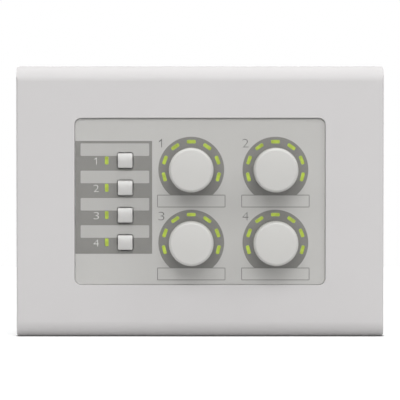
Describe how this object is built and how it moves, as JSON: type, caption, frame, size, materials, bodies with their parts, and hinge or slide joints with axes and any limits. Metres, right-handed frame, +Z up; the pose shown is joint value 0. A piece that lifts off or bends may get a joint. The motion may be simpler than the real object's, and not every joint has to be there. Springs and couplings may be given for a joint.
{
  "type": "audio zone control panel",
  "caption": "Wall plate with knurled volume knobs in lit rings, square push buttons with lit bars, and a boxed circuit module behind for a gang wall box.",
  "frame": {"origin": "on the wall surface, at the centre of the wall-box screw pattern", "axes": "+Z up, +X to the right seen from the front, +Y into the wall; the front faces -Y"},
  "size_m": [0.164, 0.0435, 0.121],
  "materials": {
    "plate_plastic": "moulded ABS with a fine matt texture",
    "yoke_steel": "zinc-plated sheet steel",
    "clear_acrylic": "clear moulded acrylic",
    "label_print": "printed polyester film",
    "chassis_plastic": "moulded ABS",
    "board_laminate": "glass-epoxy board with solder mask",
    "black_plastic": "moulded thermoset",
    "light_plastic": "tinted polycarbonate light guide, lit",
    "brass": "machined and plated",
    "switch_red": "moulded thermoset",
    "cover_steel": "galvanised sheet, folded",
    "screw_steel": "zinc-plated",
    "knob_plastic": "moulded ABS, knurled",
    "shaft_steel": "turned and nickel-plated",
    "button_plastic": "moulded ABS"
  },
  "bodies": {
    "root": {"front_plate": "plate_plastic", "mounting_yoke": "yoke_steel", "clear_panel": "clear_acrylic", "label_sheet": "label_print", "panel_chassis": "chassis_plastic", "main_board": "board_laminate", "board_components": "black_plastic", "panel_leds": "light_plastic", "button_light_guide": "light_plastic", "jack_in": "black_plastic", "jack_out": "black_plastic", "jack_contacts": "brass", "setting_switch": "switch_red", "rear_cover": "cover_steel", "chassis_screws": "screw_steel", "board_screws": "screw_steel", "rear_cover_screws": "screw_steel", "encoder_bushing_1": "brass", "encoder_housing_1": "black_plastic", "light_ring_1": "light_plastic", "switch_body_1": "shaft_steel", "encoder_bushing_2": "brass", "encoder_housing_2": "black_plastic", "light_ring_2": "light_plastic", "switch_body_2": "shaft_steel", "encoder_bushing_3": "brass", "encoder_housing_3": "black_plastic", "light_ring_3": "light_plastic", "switch_body_3": "shaft_steel", "encoder_bushing_4": "brass", "encoder_housing_4": "black_plastic", "light_ring_4": "light_plastic", "switch_body_4": "shaft_steel"},
    "knob_1": {"knob_1": "knob_plastic", "knob_clip_1": "screw_steel", "encoder_shaft_1": "shaft_steel"},
    "button_1": {"button_1": "button_plastic", "switch_plunger_1": "black_plastic"},
    "knob_2": {"knob_2": "knob_plastic", "knob_clip_2": "screw_steel", "encoder_shaft_2": "shaft_steel"},
    "button_2": {"button_2": "button_plastic", "switch_plunger_2": "black_plastic"},
    "knob_3": {"knob_3": "knob_plastic", "knob_clip_3": "screw_steel", "encoder_shaft_3": "shaft_steel"},
    "button_3": {"button_3": "button_plastic", "switch_plunger_3": "black_plastic"},
    "knob_4": {"knob_4": "knob_plastic", "knob_clip_4": "screw_steel", "encoder_shaft_4": "shaft_steel"},
    "button_4": {"button_4": "button_plastic", "switch_plunger_4": "black_plastic"},
    "lever_1": {"setting_lever_1": "button_plastic"},
    "lever_2": {"setting_lever_2": "button_plastic"},
    "lever_3": {"setting_lever_3": "button_plastic"},
    "lever_4": {"setting_lever_4": "button_plastic"},
    "lever_5": {"setting_lever_5": "button_plastic"},
    "lever_6": {"setting_lever_6": "button_plastic"}
  },
  "joints": [
    {"name": "knob_1_turn", "type": "hinge", "parent": "root", "child": "knob_1", "pos_m": [-0.0039, -0.0168, 0.0142], "axis": [0, 1, 0], "continuous": true},
    {"name": "knob_2_turn", "type": "hinge", "parent": "root", "child": "knob_2", "pos_m": [0.0337, -0.0168, 0.0142], "axis": [0, 1, 0], "continuous": true},
    {"name": "knob_3_turn", "type": "hinge", "parent": "root", "child": "knob_3", "pos_m": [-0.0039, -0.0168, -0.0184], "axis": [0, 1, 0], "continuous": true},
    {"name": "knob_4_turn", "type": "hinge", "parent": "root", "child": "knob_4", "pos_m": [0.0337, -0.0168, -0.0184], "axis": [0, 1, 0], "continuous": true},
    {"name": "button_1_press", "type": "slide", "parent": "root", "child": "button_1", "axis": [0, 1, 0], "range_m": [0, 0.0005], "stiffness_N_per_m": 2000},
    {"name": "button_2_press", "type": "slide", "parent": "root", "child": "button_2", "axis": [0, 1, 0], "range_m": [0, 0.0005], "stiffness_N_per_m": 2000},
    {"name": "button_3_press", "type": "slide", "parent": "root", "child": "button_3", "axis": [0, 1, 0], "range_m": [0, 0.0005], "stiffness_N_per_m": 2000},
    {"name": "button_4_press", "type": "slide", "parent": "root", "child": "button_4", "axis": [0, 1, 0], "range_m": [0, 0.0005], "stiffness_N_per_m": 2000},
    {"name": "lever_1_slide", "type": "slide", "parent": "root", "child": "lever_1", "axis": [0, 0, 1], "range_m": [0, 0.002]},
    {"name": "lever_2_slide", "type": "slide", "parent": "root", "child": "lever_2", "axis": [0, 0, 1], "range_m": [0, 0.002]},
    {"name": "lever_3_slide", "type": "slide", "parent": "root", "child": "lever_3", "axis": [0, 0, 1], "range_m": [0, 0.002]},
    {"name": "lever_4_slide", "type": "slide", "parent": "root", "child": "lever_4", "axis": [0, 0, 1], "range_m": [0, 0.002]},
    {"name": "lever_5_slide", "type": "slide", "parent": "root", "child": "lever_5", "axis": [0, 0, 1], "range_m": [0, 0.002]},
    {"name": "lever_6_slide", "type": "slide", "parent": "root", "child": "lever_6", "axis": [0, 0, 1], "range_m": [0, 0.002]}
  ]
}
